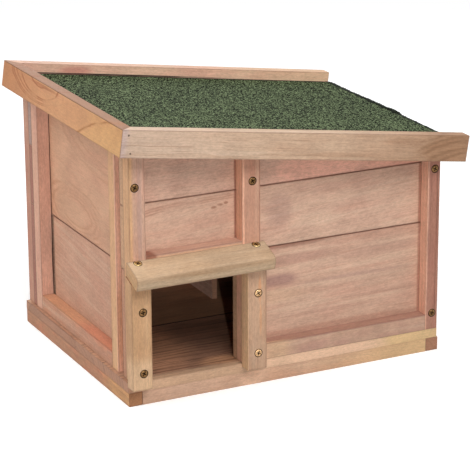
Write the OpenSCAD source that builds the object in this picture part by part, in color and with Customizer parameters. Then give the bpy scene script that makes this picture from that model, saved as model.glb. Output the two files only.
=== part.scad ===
// Wooden hedgehog house: framed board walls on a skid base, a canopied
// entry, a partition and a felted lean-to roof that lifts on two hinges.
// Millimetres, +Z up, entry towards -Y, low side of the roof towards +X.
// The origin is on the ground, under the middle of the overall outline.

/* [Base] */
// Width of the base across the two skids
base_w = 450; // [400:1:560]
// Depth of the base, front to back
base_d = 352; // [310:1:440]
// Width of a skid
skid_w = 18.5; // [12:0.5:28]
// Height of a skid
skid_h = 18.5; // [12:0.5:30]
// Depth of the rails that tie the skids at the front and the back
base_rail_t = 18; // [12:0.5:28]
// Thickness of the floor boards
floor_t = 12.5; // [8:0.5:18]
// Open joint between the two floor boards
floor_gap = 0.4; // [0.3:0.1:4]

/* [Walls] */
// Step from the left end of the base to the left wall
inset_left = 5; // [2:0.5:10]
// Step from the right end of the base to the right wall
inset_right = 2; // [1:0.5:10]
// Height of the walls above the floor at the high left side
wall_high = 310.5; // [290:0.5:380]
// Thickness of the frame battens
frame_t = 18; // [14:0.5:24]
// Thickness of the wall boards
board_t = 10; // [7:0.5:14]
// Open joint between two boards of a wall
board_gap = 1.1; // [0.3:0.1:2]
// Height of a bottom rail
bottom_rail_h = 21.5; // [16:0.5:30]
// Joint above the lower board of the front and back, above the floor
lower_joint = 145; // [120:1:160]
// Joint above the middle board of the front and back, above the floor
upper_joint = 227.5; // [212:0.5:240]
// Joint between the boards of a side wall, above the floor
side_joint = 134.5; // [100:0.5:170]
// Width of the left post of the front and of both back posts
left_post_w = 21.5; // [18:0.5:30]
// Width of the post at the right of the entry
entry_post_w = 25; // [18:0.5:32]
// Width of the right post of the front
right_post_w = 18; // [14:0.5:30]
// Width of a side wall's stile
stile_w = 20; // [16:0.5:28]
// Slot between the front wall and a side wall's front stile
stile_slot = 15; // [5:0.5:25]
// Gap between a side wall's lower board and its rear stile
short_gap = 5; // [1:0.5:10]
// Height of the rail that carries the hinges
top_rail_h = 26; // [24:0.5:40]

/* [Entry] */
// Clear width between the two posts beside the entry
entry_w = 133; // [110:1:160]
// Height of the lintel batten over the entry
lintel_h = 20; // [18:0.5:36]
// Width of a jamb
jamb_w = 26.5; // [22:0.5:32]
// Thickness of a jamb
jamb_t = 17.5; // [14:0.5:22]
// Length that a jamb reaches below the top of the floor
jamb_drop = 3.7; // [0:0.1:10]
// Shift of both jambs to the left of the posts behind them
jamb_shift = 1.5; // [0:0.5:4]
// Depth of the canopy board along its slope
canopy_d = 38; // [32:0.5:60]
// Thickness of the canopy board
canopy_t = 16.5; // [12:0.5:20]
// Slope of the canopy board in degrees
canopy_tilt = 20; // [10:1:30]
// Radius of the canopy's front top edge
canopy_round = 8; // [3:0.5:10]
// Drop from the top of the lintel to the canopy's top edge at the wall
canopy_set = 4; // [0:0.5:10]
// Step from the left jamb's outer face to the left end of the canopy
canopy_step = 1.5; // [0:0.1:6]
// Length that the canopy runs past the right jamb
canopy_over = 5.5; // [1:0.5:20]

/* [Partition] */
// Thickness of the partition
partition_t = 8; // [5:0.5:12]
// Gap between the top of the partition and the walls' sloping tops
partition_gap = 12.5; // [4:0.5:40]
// Distance from the left end of the base to the partition
partition_x = 230; // [210:0.5:260]
// Width of the partition's doorway
doorway_w = 130; // [100:1:160]
// Height of the partition's doorway
doorway_h = 140; // [100:1:180]
// Shift of the doorway towards the back, from the middle of the base
doorway_shift = -3.5; // [-20:0.5:20]
// Clearance between the partition and the walls
partition_clear = 0.3; // [0.1:0.1:1]

/* [Roof] */
// Slope of the roof in degrees
roof_slope = 8.1; // [4:0.1:10]
// Thickness of the roof panel
panel_t = 8; // [6:0.5:15]
// Thickness of the roofing felt
felt_t = 2.5; // [1.5:0.5:4]
// Thickness of the trim boards
trim_t = 18; // [12:0.5:22]
// Height of the trim boards
trim_h = 35; // [30:0.5:50]
// Height that the trims stand above the felt
trim_lip = 13.5; // [4:0.5:16]
// Clearance between the left wall and the left trim
trim_gap_left = 1.5; // [1:0.1:4]
// Clearance between the front or back wall and its trim
trim_gap_ends = 5.2; // [3:0.1:10]
// Length that the roof runs past the right wall, along its slope
roof_over = 26; // [24:0.5:40]
// Clearance between the walls' tops and the roof panel
lid_seat = 0.3; // [0.2:0.1:0.6]

/* [Hinges] */
// Length of a hinge
hinge_len = 40; // [30:1:60]
// Distance from a stile to the end of the nearer hinge
hinge_end = 15; // [6:1:50]
// Width of a hinge leaf, from the pin to its free edge
leaf_w = 20; // [14:0.5:22]
// Thickness of a hinge leaf
leaf_t = 1.5; // [1:0.1:2]
// Outer radius of a knuckle
knuckle_r = 3; // [2.6:0.1:3.6]
// Radius of a hinge pin
pin_r = 1.5; // [1.2:0.1:1.8]
// Radial clearance of a pin in its knuckles
pin_clear = 0.05; // [0.02:0.01:0.08]
// Clearance between a hinge's moving faces
hinge_clear = 0.3; // [0.2:0.1:0.5]
// Radius of a pin's peened end
pin_head_r = 2.2; // [2:0.1:2.6]
// Length of a pin's peened end
pin_head_h = 0.8; // [0.5:0.1:1.5]
// Radius of a hinge screw's head
leaf_head_r = 2.6; // [2:0.1:3.2]
// Radius of a hinge screw's shank
leaf_shank_r = 1.3; // [1:0.1:1.6]
// Length of a hinge screw
leaf_screw_l = 7; // [4:0.5:8]
// Distance from a leaf's free edge to its screws
leaf_screw_in = 8; // [6:0.5:10]
// Distance from an end of a leaf to its screw
leaf_screw_end = 8; // [5:0.5:12]

/* [Screws] */
// Radius of a screw head
head_r = 3.9; // [3:0.1:4.5]
// Height of a screw's countersunk head
head_h = 2.2; // [1.5:0.1:3]
// Radius of a screw's shank
shank_r = 1.8; // [1.4:0.1:2.2]
// Clearance of a screw in its hole
screw_clear = 0.1; // [0.05:0.05:0.3]
// Length of a screw through a jamb
jamb_screw_l = 30; // [25:1:32]
// Length of a screw through a wall post
post_screw_l = 25; // [21:1:26]
// Length of a screw through the canopy
canopy_screw_l = 35; // [30:1:45]
// Distance from a jamb's left face to its screws
jamb_screw_x = 15; // [10:0.5:18]
// Height of the lower jamb screws above the floor
jamb_screw_low = 18; // [10:0.5:30]
// Height of the upper jamb screws above the floor
jamb_screw_high = 99; // [80:0.5:115]
// Distance of the canopy screws in front of the wall
canopy_screw_y = 4.5; // [4.2:0.1:9]
// Distance from an end of the canopy to its screw
canopy_screw_x = 13.5; // [8:0.5:18]
// Distance from the left post's left face to its screw
left_screw_x = 8; // [6:0.5:12]
// Height of the left post's screw above the floor
left_screw_z = 255; // [235:1:262]
// Distance from the entry post's left face to its screw
entry_screw_x = 14.5; // [8:0.5:18]
// Height of the entry post's screw above the floor
entry_screw_z = 242; // [233:1:250]
// Distance from the right post's left face to its screws
right_screw_x = 10; // [6:0.5:12]
// Height of the right post's upper screw above the floor
right_screw_high = 222; // [190:1:226]
// Height of the right post's lower screw above the floor
right_screw_low = 22.5; // [14:0.5:40]

/* [Hidden] */
$fn = 48;

pine = "#d2a080";
pine_red = "#c68e70";
pine_pale = "#cfa873";
pine_grey = "#c7a583";
pine_orange = "#d49a66";
felt_green = "#2f4a35";
brass = "#b0945a";
zinc = "#a9adb0";

// Levels
floor_z = skid_h + floor_t;
wall_z = floor_z + wall_high;
low_z = floor_z + lower_joint;
high_z = floor_z + upper_joint;
side_z = floor_z + side_joint;
rail_z = floor_z + bottom_rail_h;

// Wall planes across the width
wall_l = inset_left;
wall_r = base_w - inset_right;
board_l = wall_l + frame_t;
board_r = wall_r - frame_t;
room_l = board_l + board_t;
room_r = board_r - board_t;
left_post_x = wall_l + left_post_w;
entry_post_l = left_post_x + entry_w;
entry_post_x = entry_post_l + entry_post_w;
right_post_l = wall_r - right_post_w;

// Wall planes front to back
front_y = frame_t + board_t;
back_y = base_d - frame_t - board_t;
back_post_y = base_d - frame_t;
stile_y = front_y + stile_slot;
rear_stile_y = back_y - stile_w;

// Top of the partition, under the slope at its lower side
partition_z = wall_z - (partition_x + partition_t - wall_l) * tan(roof_slope) - partition_gap;

// Entry pieces
left_jamb_l = left_post_x - jamb_shift - jamb_w;
right_jamb_l = entry_post_l - jamb_shift;
canopy_l = left_jamb_l + canopy_step;
canopy_w = right_jamb_l + jamb_w + canopy_over - canopy_l;
canopy_z = low_z + lintel_h - canopy_set;
canopy_drop = canopy_t / cos(canopy_tilt);
canopy_front = (canopy_d - canopy_round) * cos(canopy_tilt)
  - canopy_round * sin(canopy_tilt) + canopy_round;

// Roof frame: u down the slope from the left wall, w up from the panel's underside
lid_z = wall_z + lid_seat / cos(roof_slope);
lid_left = -trim_gap_left / cos(roof_slope);
lid_u0 = lid_left - trim_t;
lid_u1 = (wall_r - wall_l) / cos(roof_slope) + roof_over;
trim_top = panel_t + felt_t + trim_lip;
trim_low = trim_top - trim_h;
trim_front_y = -trim_gap_ends;
trim_back_y = base_d + trim_gap_ends;

// Hinge line, outside the right wall's top edge
axis_off = knuckle_r + hinge_clear;
axis_x = wall_r + axis_off;
axis_z = lid_z - (axis_x - wall_l) * tan(roof_slope) - axis_off / cos(roof_slope);
hinge_ys = [
  stile_y + stile_w + hinge_end + hinge_len / 2,
  rear_stile_y - hinge_end - hinge_len / 2
];
knuckle_l = hinge_len / 3;

// Middle of the overall outline
mid_x = wall_l + (lid_u0 * cos(roof_slope) + trim_low * sin(roof_slope)
  + lid_u1 * cos(roof_slope) + trim_top * sin(roof_slope)) / 2;
mid_y = (trim_back_y + trim_t - canopy_front) / 2;

// A size larger than the house, for half spaces
reach = 2 * (base_w + base_d + wall_z);

// Screw seats: each place is on the wood's face, [x, y, z]
jamb_screw_at = [
  for (x = [left_jamb_l, right_jamb_l], h = [jamb_screw_low, jamb_screw_high])
    [x + jamb_screw_x, -jamb_t, floor_z + h]
];
canopy_screw_at = [
  for (x = [canopy_l + canopy_screw_x, canopy_l + canopy_w - canopy_screw_x])
    [x, -canopy_screw_y, canopy_z - (canopy_screw_y + head_r) * tan(canopy_tilt)]
];
front_screw_at = [
  [wall_l + left_screw_x, 0, floor_z + left_screw_z],
  [entry_post_l + entry_screw_x, 0, floor_z + entry_screw_z],
  [right_post_l + right_screw_x, 0, floor_z + right_screw_high],
  [right_post_l + right_screw_x, 0, floor_z + right_screw_low]
];
back_screw_at = [
  for (x = [wall_l + left_post_w / 2, wall_r - left_post_w / 2],
       h = [right_screw_low, right_screw_high])
    [x, base_d, floor_z + h]
];

// Placing helpers

module house() translate([-mid_x, -mid_y, 0]) children();

module block(x, y, z) {
  translate([x[0], y[0], z[0]])
    cube([x[1] - x[0], y[1] - y[0], z[1] - z[0]]);
}

// Keeps what lies below the line of the walls' tops
module under_roof() {
  intersection() {
    children();
    translate([wall_l, 0, wall_z]) rotate([0, roof_slope, 0])
      translate([-reach / 2, -reach / 2, -reach]) cube(reach);
  }
}

module on_slope() {
  house() translate([wall_l, 0, lid_z]) rotate([0, roof_slope, 0]) children();
}

// Screws

module screw(length, grow = 0) {
  cylinder(h = head_h, r1 = head_r + grow, r2 = shank_r + grow);
  cylinder(h = length + grow, r = shank_r + grow);
}

// The hole for one screw, open above the face that it enters
module screw_hole(length) {
  screw(length, screw_clear);
  translate([0, 0, -head_r]) cylinder(h = head_r, r = head_r + screw_clear);
}

module into_front(places) for (p = places) translate(p) rotate([-90, 0, 0]) children();

module into_back(places) for (p = places) translate(p) rotate([90, 0, 0]) children();

module down_into(places) for (p = places) translate(p) rotate([180, 0, 0]) children();

module front_holes() into_front(front_screw_at) screw_hole(post_screw_l);

module back_holes() into_back(back_screw_at) screw_hole(post_screw_l);

module jamb_holes() into_front(jamb_screw_at) screw_hole(jamb_screw_l);

module canopy_holes() down_into(canopy_screw_at) screw_hole(canopy_screw_l);

// Base

module skid(x) block([x, x + skid_w], [0, base_d], [0, skid_h]);

module left_skid() color(pine) house() skid(0);

module right_skid() color(pine) house() skid(base_w - skid_w);

module base_rail(y) block([skid_w, base_w - skid_w], [y, y + base_rail_t], [0, skid_h]);

module base_front_rail() color(pine) house() base_rail(0);

module base_back_rail() color(pine) house() base_rail(base_d - base_rail_t);

module floor_board(y) block([0, base_w - inset_right], y, [skid_h, floor_z]);

module floor_front_board()
  color(pine_pale) house() floor_board([0, (base_d - floor_gap) / 2]);

module floor_rear_board()
  color(pine_pale) house() floor_board([(base_d + floor_gap) / 2, base_d]);

// Front wall

module post(x, y) under_roof() block(x, y, [floor_z, wall_z]);

module front_left_post() {
  color(pine) house() difference() {
    post([wall_l, left_post_x], [0, frame_t]);
    front_holes();
    jamb_holes();
  }
}

module entry_post() {
  color(pine) house() difference() {
    post([entry_post_l, entry_post_x], [0, frame_t]);
    front_holes();
    jamb_holes();
  }
}

module front_right_post() {
  color(pine) house() difference() {
    post([right_post_l, wall_r], [0, frame_t]);
    front_holes();
  }
}

module entry_lintel()
  color(pine_red) house()
    block([left_post_x, entry_post_l], [0, frame_t], [low_z, low_z + lintel_h]);

module front_bottom_rail()
  color(pine_red) house()
    block([entry_post_x, right_post_l], [0, frame_t], [floor_z, rail_z]);

module front_boards(x, z) {
  color(pine) house() difference() {
    under_roof() block(x, [frame_t, front_y], z);
    front_holes();
  }
}

module front_lower_board() front_boards([entry_post_l, wall_r], [floor_z, low_z]);

module front_middle_board() front_boards([wall_l, wall_r], [low_z + board_gap, high_z]);

module front_top_board() front_boards([wall_l, wall_r], [high_z + board_gap, wall_z]);

// Side walls, each given by its batten plane and its board plane

module front_stile(x) under_roof() block(x, [stile_y, stile_y + stile_w], [floor_z, wall_z]);

module rear_stile(x) under_roof() block(x, [rear_stile_y, back_y], [floor_z, wall_z]);

module side_rail(x, z) under_roof() block(x, [stile_y + stile_w, rear_stile_y], z);

module lower_side_board(x)
  block(x, [front_y, rear_stile_y - short_gap], [floor_z, side_z]);

module upper_side_board(x)
  under_roof() block(x, [front_y, back_y], [side_z + board_gap, wall_z]);

module left_front_stile() color(pine_pale) house() front_stile([wall_l, board_l]);

module left_rear_stile() color(pine) house() rear_stile([wall_l, board_l]);

module left_bottom_rail() color(pine_red) house() side_rail([wall_l, board_l], [floor_z, rail_z]);

module left_lower_board() color(pine) house() lower_side_board([board_l, room_l]);

module left_upper_board() color(pine) house() upper_side_board([board_l, room_l]);

module right_front_stile() color(pine_pale) house() front_stile([board_r, wall_r]);

module right_rear_stile() color(pine) house() rear_stile([board_r, wall_r]);

module right_bottom_rail() color(pine_red) house() side_rail([board_r, wall_r], [floor_z, rail_z]);

module right_top_rail() {
  color(pine) difference() {
    house() side_rail([board_r, wall_r], [axis_z + axis_off - top_rail_h, wall_z]);
    on_wall_leaves() leaf_holes();
  }
}

module right_lower_board() color(pine) house() lower_side_board([room_r, board_r]);

module right_upper_board() color(pine) house() upper_side_board([room_r, board_r]);

// Back wall

module back_post(x) {
  color(pine) house() difference() {
    post(x, [back_post_y, base_d]);
    back_holes();
  }
}

module back_left_post() back_post([wall_l, left_post_x]);

module back_right_post() back_post([wall_r - left_post_w, wall_r]);

module back_bottom_rail()
  color(pine_red) house()
    block([left_post_x, wall_r - left_post_w], [back_post_y, base_d], [floor_z, rail_z]);

module back_boards(z) {
  color(pine) house() difference() {
    under_roof() block([wall_l, wall_r], [back_y, back_post_y], z);
    back_holes();
  }
}

module back_lower_board() back_boards([floor_z, low_z]);

module back_middle_board() back_boards([low_z + board_gap, high_z]);

module back_top_board() back_boards([high_z + board_gap, wall_z]);

// Partition with its doorway, standing on the floor

module partition() {
  doorway_y = base_d / 2 + doorway_shift;
  thick = [partition_x, partition_x + partition_t];
  color(pine) house() difference() {
    block(thick, [front_y + partition_clear, back_y - partition_clear],
      [floor_z, partition_z]);
    block(thick + [-partition_t, partition_t],
      [doorway_y - doorway_w / 2, doorway_y + doorway_w / 2],
      [floor_z - partition_t, floor_z + doorway_h]);
  }
}

// Entry: jambs cut to the slope of the canopy that lies on them

function canopy_under(y) = canopy_z - canopy_drop + y * tan(canopy_tilt);

module along_x(length) rotate([90, 0, 90]) linear_extrude(length) children();

module jamb(x) {
  foot = floor_z - jamb_drop;
  difference() {
    translate([x, 0, 0]) along_x(jamb_w)
      polygon([[-jamb_t, foot], [0, foot], [0, canopy_under(0)], [-jamb_t, canopy_under(-jamb_t)]]);
    jamb_holes();
    canopy_holes();
  }
}

module left_jamb() color(pine_pale) house() jamb(left_jamb_l);

module right_jamb() color(pine_pale) house() jamb(right_jamb_l);

// Board section with a round front top edge, its front at x = 0
module canopy_section() {
  square([canopy_d * 2, canopy_t - canopy_round]);
  translate([canopy_round, 0]) square([canopy_d * 2 - canopy_round, canopy_t]);
  translate([canopy_round, canopy_t - canopy_round]) circle(canopy_round);
}

module canopy() {
  color(pine_pale) house() difference() {
    translate([canopy_l, 0, 0]) along_x(canopy_w)
      intersection() {
        translate([0, canopy_z]) rotate(canopy_tilt)
          translate([-canopy_d, -canopy_t]) canopy_section();
        translate([-2 * canopy_d, canopy_z - 2 * canopy_d])
          square([2 * canopy_d, 2 * canopy_d]);
      }
    canopy_holes();
  }
}

// Screws, seated in the holes above

module jamb_screws() color(brass) house() into_front(jamb_screw_at) screw(jamb_screw_l);

module canopy_screws() color(brass) house() down_into(canopy_screw_at) screw(canopy_screw_l);

module frame_screws() {
  color(brass) house() {
    into_front(front_screw_at) screw(post_screw_l);
    into_back(back_screw_at) screw(post_screw_l);
  }
}

// Hinges: the wall leaf has the middle knuckle, the lid leaf the two outer ones

module at_hinges() house() for (y = hinge_ys) translate([axis_x, y, axis_z]) children();

module knuckle(from, to) {
  translate([0, from, 0]) rotate([-90, 0, 0]) cylinder(h = to - from, r = knuckle_r);
}

module pin_bore() {
  translate([0, -hinge_len, 0]) rotate([-90, 0, 0])
    cylinder(h = 2 * hinge_len, r = pin_r + pin_clear);
}

// A leaf that lies along +X with its outer face axis_off above the pin
module leaf_plate(y, inner)
  block([inner, leaf_w], y, [axis_off - leaf_t, axis_off]);

module hinge_leaf(knuckles) {
  clear_r = knuckle_r + hinge_clear * 2;
  difference() {
    union() {
      leaf_plate([-hinge_len / 2, hinge_len / 2], clear_r);
      for (k = knuckles) {
        knuckle(k[0], k[1]);
        leaf_plate(k, 0);
      }
    }
    pin_bore();
    leaf_holes();
  }
}

// Countersunk hinge screw, its head flush with the leaf's open face
module leaf_screw(grow = 0) {
  cylinder(h = leaf_t, r1 = leaf_head_r + grow, r2 = leaf_shank_r + grow);
  cylinder(h = leaf_screw_l + grow, r = leaf_shank_r + grow);
}

module at_leaf_screws() {
  for (side = [-1, 1])
    translate([leaf_w - leaf_screw_in, side * (hinge_len / 2 - leaf_screw_end), axis_off - leaf_t])
      children();
}

module leaf_holes() {
  at_leaf_screws() {
    leaf_screw(screw_clear);
    translate([0, 0, -leaf_head_r]) cylinder(h = leaf_head_r, r = leaf_head_r + screw_clear);
  }
}

module on_wall_leaves() at_hinges() rotate([0, 90, 0]) mirror([0, 0, 1]) children();

module on_lid_leaves() at_hinges() rotate([0, roof_slope, 0]) children();

inner_knuckle = [[-knuckle_l / 2, knuckle_l / 2]];
outer_knuckles = [
  [-hinge_len / 2, -knuckle_l / 2 - hinge_clear],
  [knuckle_l / 2 + hinge_clear, hinge_len / 2]
];

module hinge_wall_leaves() color(zinc) on_wall_leaves() hinge_leaf(inner_knuckle);

module hinge_lid_leaves() color(zinc) on_lid_leaves() hinge_leaf(outer_knuckles);

module hinge_wall_screws() color(zinc) on_wall_leaves() at_leaf_screws() leaf_screw();

module hinge_lid_screws() color(zinc) on_lid_leaves() at_leaf_screws() leaf_screw();

module hinge_pins() {
  half = hinge_len / 2 + hinge_clear;
  color(zinc) at_hinges() rotate([-90, 0, 0]) {
    translate([0, 0, -half]) cylinder(h = 2 * half, r = pin_r);
    for (z = [half, -half - pin_head_h])
      translate([0, 0, z]) cylinder(h = pin_head_h, r = pin_head_r);
  }
}

// Roof: panel and felt inside three trims, open at the low edge

module roof_panel() {
  color(pine) difference() {
    on_slope() block([lid_left, lid_u1], [trim_front_y, trim_back_y], [0, panel_t]);
    on_lid_leaves() leaf_holes();
  }
}

module roof_felt()
  color(felt_green) on_slope()
    block([lid_left, lid_u1], [trim_front_y, trim_back_y], [panel_t, panel_t + felt_t]);

// Trim boards, mitred where they meet at the high side
module trim(outline)
  on_slope() translate([0, 0, trim_low]) linear_extrude(trim_h) polygon(outline);

front_outer = [lid_u0, trim_front_y - trim_t];
front_inner = [lid_left, trim_front_y];
back_outer = [lid_u0, trim_back_y + trim_t];
back_inner = [lid_left, trim_back_y];

module front_trim()
  color(pine_grey)
    trim([front_outer, [lid_u1, front_outer.y], [lid_u1, front_inner.y], front_inner]);

module back_trim()
  color(pine_grey)
    trim([back_inner, [lid_u1, back_inner.y], [lid_u1, back_outer.y], back_outer]);

module left_trim() color(pine_orange) trim([front_outer, front_inner, back_inner, back_outer]);

left_skid();
right_skid();
base_front_rail();
base_back_rail();
floor_front_board();
floor_rear_board();
front_left_post();
entry_post();
front_right_post();
entry_lintel();
front_bottom_rail();
front_lower_board();
front_middle_board();
front_top_board();
left_front_stile();
left_rear_stile();
left_bottom_rail();
left_lower_board();
left_upper_board();
right_front_stile();
right_rear_stile();
right_bottom_rail();
right_top_rail();
right_lower_board();
right_upper_board();
back_left_post();
back_right_post();
back_bottom_rail();
back_lower_board();
back_middle_board();
back_top_board();
partition();
left_jamb();
right_jamb();
canopy();
jamb_screws();
canopy_screws();
frame_screws();
hinge_wall_leaves();
hinge_wall_screws();
hinge_pins();
roof_panel();
roof_felt();
front_trim();
back_trim();
left_trim();
hinge_lid_leaves();
hinge_lid_screws();
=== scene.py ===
import math

import bmesh
import bpy
from mathutils import Matrix, Vector


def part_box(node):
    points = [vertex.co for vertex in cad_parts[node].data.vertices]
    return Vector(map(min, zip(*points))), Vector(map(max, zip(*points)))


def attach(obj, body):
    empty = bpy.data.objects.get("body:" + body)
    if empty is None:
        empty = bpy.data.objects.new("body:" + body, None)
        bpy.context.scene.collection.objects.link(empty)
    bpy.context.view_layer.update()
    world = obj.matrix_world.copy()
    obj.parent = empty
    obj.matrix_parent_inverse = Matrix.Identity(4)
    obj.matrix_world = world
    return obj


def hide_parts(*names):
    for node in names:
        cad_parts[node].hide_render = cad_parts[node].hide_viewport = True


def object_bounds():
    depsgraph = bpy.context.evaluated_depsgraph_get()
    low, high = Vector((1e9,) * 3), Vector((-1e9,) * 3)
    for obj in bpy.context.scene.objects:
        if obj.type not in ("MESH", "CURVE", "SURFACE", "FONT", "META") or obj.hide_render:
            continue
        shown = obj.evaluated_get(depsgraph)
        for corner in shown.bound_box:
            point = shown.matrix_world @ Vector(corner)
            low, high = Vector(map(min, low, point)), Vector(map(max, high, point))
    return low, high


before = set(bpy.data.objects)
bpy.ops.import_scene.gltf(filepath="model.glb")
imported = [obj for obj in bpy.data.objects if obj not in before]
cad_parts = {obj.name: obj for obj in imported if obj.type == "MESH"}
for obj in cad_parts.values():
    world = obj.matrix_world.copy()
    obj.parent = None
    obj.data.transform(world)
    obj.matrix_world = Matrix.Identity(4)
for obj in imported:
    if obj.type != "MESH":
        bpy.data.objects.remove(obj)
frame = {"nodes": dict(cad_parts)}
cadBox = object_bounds()
nodes = frame["nodes"]
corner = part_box("left_skid")[0]  # front left corner on the ground, photo places count from it
bpy.context.scene.view_settings.view_transform = "Standard"
print("frame loaded,", len(nodes), "pieces")


def tint(red, green, blue):  # screen values 0 to 255, made linear
    steps = [value / 255 for value in (red, green, blue)]
    steps = [v / 12.92 if v <= 0.04045 else ((v + 0.055) / 1.055) ** 2.4 for v in steps]
    return (*steps, 1.0)


def spot(x, y, z):
    return corner + Vector((x, y, z)) / 1000  # millimetres from that corner


def build(name, mesh, finishes=()):
    data = bpy.data.meshes.new(name)
    mesh.to_mesh(data)
    mesh.free()
    for finish in finishes:
        data.materials.append(finish)
    piece = bpy.data.objects.new(name, data)
    bpy.context.scene.collection.objects.link(piece)
    return piece


def bridge(mesh, first, second):  # faces between two closed rings
    return [mesh.faces.new((first[k - 1], first[k], second[k], second[k - 1])) for k in range(len(first))]


def faceOutward(mesh):
    bmesh.ops.recalc_face_normals(mesh, faces=mesh.faces)


def refinish(piece, finish):
    piece.data.materials.clear()
    piece.data.materials.append(finish)


# Shader sockets as plain Python values

class Val:
    def __init__(self, shade, socket):
        self.shade = shade
        self.socket = socket

    def op(self, kind, *rest):
        return self.shade.math(kind, self, *rest)

    def __add__(self, other):
        return self.op("ADD", other)

    def __sub__(self, other):
        return self.op("SUBTRACT", other)

    def __mul__(self, other):
        return self.op("MULTIPLY", other)

    def __truediv__(self, other):
        return self.op("DIVIDE", other)

    def __pow__(self, other):
        return self.op("POWER", other)

    def __radd__(self, other):
        return self.shade.math("ADD", other, self)

    def __rsub__(self, other):
        return self.shade.math("SUBTRACT", other, self)

    def __rmul__(self, other):
        return self.shade.math("MULTIPLY", other, self)

    def __rtruediv__(self, other):
        return self.shade.math("DIVIDE", other, self)

    def __neg__(self):
        return self.op("MULTIPLY", -1)

    def __abs__(self):
        return self.op("ABSOLUTE")

    def __gt__(self, other):
        return self.op("GREATER_THAN", other)


class Shade:
    def __init__(self, owner):
        owner.use_nodes = True
        self.owner = owner
        self.tree = owner.node_tree
        self.tree.nodes.clear()

    def node(self, kind, settings=None, sockets=None, out=0):
        made = self.tree.nodes.new(kind)
        for key, value in (settings or {}).items():
            setattr(made, key, value)
        for key, value in (sockets or {}).items():
            if isinstance(value, Val):
                self.tree.links.new(value.socket, made.inputs[key])
            else:
                made.inputs[key].default_value = value
        return Val(self, made.outputs[out]) if made.outputs else made

    def math(self, kind, *values):
        return self.node("ShaderNodeMath", {"operation": kind}, dict(enumerate(values)))

    def coord(self, kind):
        return self.node("ShaderNodeTexCoord", out=kind)

    def dot(self, vector, axis):
        return self.node("ShaderNodeVectorMath", {"operation": "DOT_PRODUCT"},
                         {0: vector, 1: axis}, "Value")

    def scaled(self, vector, value):
        return self.node("ShaderNodeVectorMath", {"operation": "SCALE"}, {0: vector, "Scale": value})

    def vector(self, x, y, z):
        return self.node("ShaderNodeCombineXYZ", None, {0: x, 1: y, 2: z})

    def noise(self, vector, detail=2.0, rough=0.5):
        return self.node("ShaderNodeTexNoise", None,
                         {"Vector": vector, "Scale": 1.0, "Detail": detail, "Roughness": rough})

    def smooth(self, value, low, high, start=0.0, end=1.0):
        return self.node("ShaderNodeMapRange", {"interpolation_type": "SMOOTHSTEP"},
                         {0: value, 1: low, 2: high, 3: start, 4: end})

    def mix(self, share, first, second):
        return self.node("ShaderNodeMix", {"data_type": "RGBA"}, {0: share, 6: first, 7: second}, 2)

    def surface(self, colour, rough, height, bump, depth, **fixed):
        normal = self.node("ShaderNodeBump", None,
                           {"Height": height, "Strength": bump, "Distance": depth})
        sockets = {"Base Color": colour, "Roughness": rough, "Normal": normal}
        sockets.update({key.replace("_", " "): value for key, value in fixed.items()})
        shader = self.node("ShaderNodeBsdfPrincipled", None, sockets)
        self.node("ShaderNodeOutputMaterial", None, {"Surface": shader})
        return self.owner


# Directions of the house, and of the lid and the canopy from their largest upward faces

def skyFace(nodeName):
    faces = [f for f in nodes[nodeName].data.polygons if f.normal.z > 0.7]  # those that look up
    return max(faces, key=lambda f: f.area).normal.copy()


toRight = Vector((1, 0, 0))
toBack = Vector((0, 1, 0))
toFront = Vector((0, -1, 0))
toSky = Vector((0, 0, 1))
lidUp = skyFace("roof_felt")
lidDown = toBack.cross(lidUp).normalized()  # down the slope, to the hinges
canopyUp = skyFace("canopy")
acrossX = (toRight, toBack, toSky)  # each set: along the grain, across it and up
alongY = (toBack, toRight, toSky)
upright = (toSky, toRight, toBack)
downSlope = (lidDown, toBack, lidUp)
ridge = (toBack, lidDown, lidUp)


def span(piece, axis):
    places = [v.co.dot(axis) * 1000 for v in piece.data.vertices]
    return min(places), max(places)


# Sawn fir: one finish a piece, worked out in the piece's own frame in millimetres

plank = {
    "tone": (199, 160, 137),
    "late": (160, 108, 82),  # latewood lines
    "blush": (196, 138, 118),
    "pale": (214, 186, 160),
    "end": (156, 112, 84),
    "endMix": 0.8,
    "ends": None,  # colour and share at the low end, then at the high end
    "spacing": 6.0,
    "lines": 0.2,
    "linesFrom": None,  # where across the piece the dark lines start
    "scratch": 0.2,  # sparse dark streaks
    "pith": (90, 40),  # heart of the log, from the piece's middle
    "drift": (0.0, 0.0),  # how far the grain runs out across and up
    "wander": 9.0,
    "blotch": 0.55,
    "patch": (70, 24),  # length and width of a blotch
    "streak": 0.4,
    "fibre": 0.17,
    "speck": 0.40,  # rough sawn fuzz
    "edge": 0.42,  # grime along the arrises, also painted shade in the joints between parts
    "grimeAndJointShade": (92, 60, 46),
    "stains": (),  # place, reach, colour, share: places and reaches along, across and up
    "arcs": (),  # flame figure: middle and reach along and up, rings, width, colour, share, fade along
    "rough": 0.66,
    "bump": 0.22,
    "bumpDepth": 0.0005,  # metres
    "gloss": 0.2,
    "ease": 0.5,  # rounded edge
    "boardEase": 0.2,
}
grainLayers = {  # length and width in millimetres, shift, detail, roughness
    "sway": (170, 48, 0.0, 2.0, 0.5),
    "ripple": (60, 13, 20.0, 2.0, 0.5),
    "fibre": (30, 1.4, 40.0, 3.0, 0.65),
    "fine": (11, 0.42, 60.0, 2.0, 0.5),
    "streak": (260, 8, 80.0, 3.0, 0.5),
    "speck": (5.2, 1.9, 140.0, 4.0, 0.75),
    "scratch": (64, 1.7, 160.0, 2.0, 0.6),
}
grainCuts = {  # levels between which each mark comes in
    "blotch": (0.42, 0.68),
    "streak": (0.48, 0.72),
    "scratch": (0.56, 0.74),
    "stain": (0.1, 0.7),
    "figure": (0.32, 0.58),
    "endGrain": (0.62, 0.9),
    "wearAndJointShade": (2.0, 0.2),  # millimetres from an edge
    "ring": (0.84, 1.0, 1.0, 0.0),  # share of a ring where the latewood stops
}
seedStep = (7.31, 3.7, 11)  # how far each seed moves the noise along, across and between rings


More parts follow.
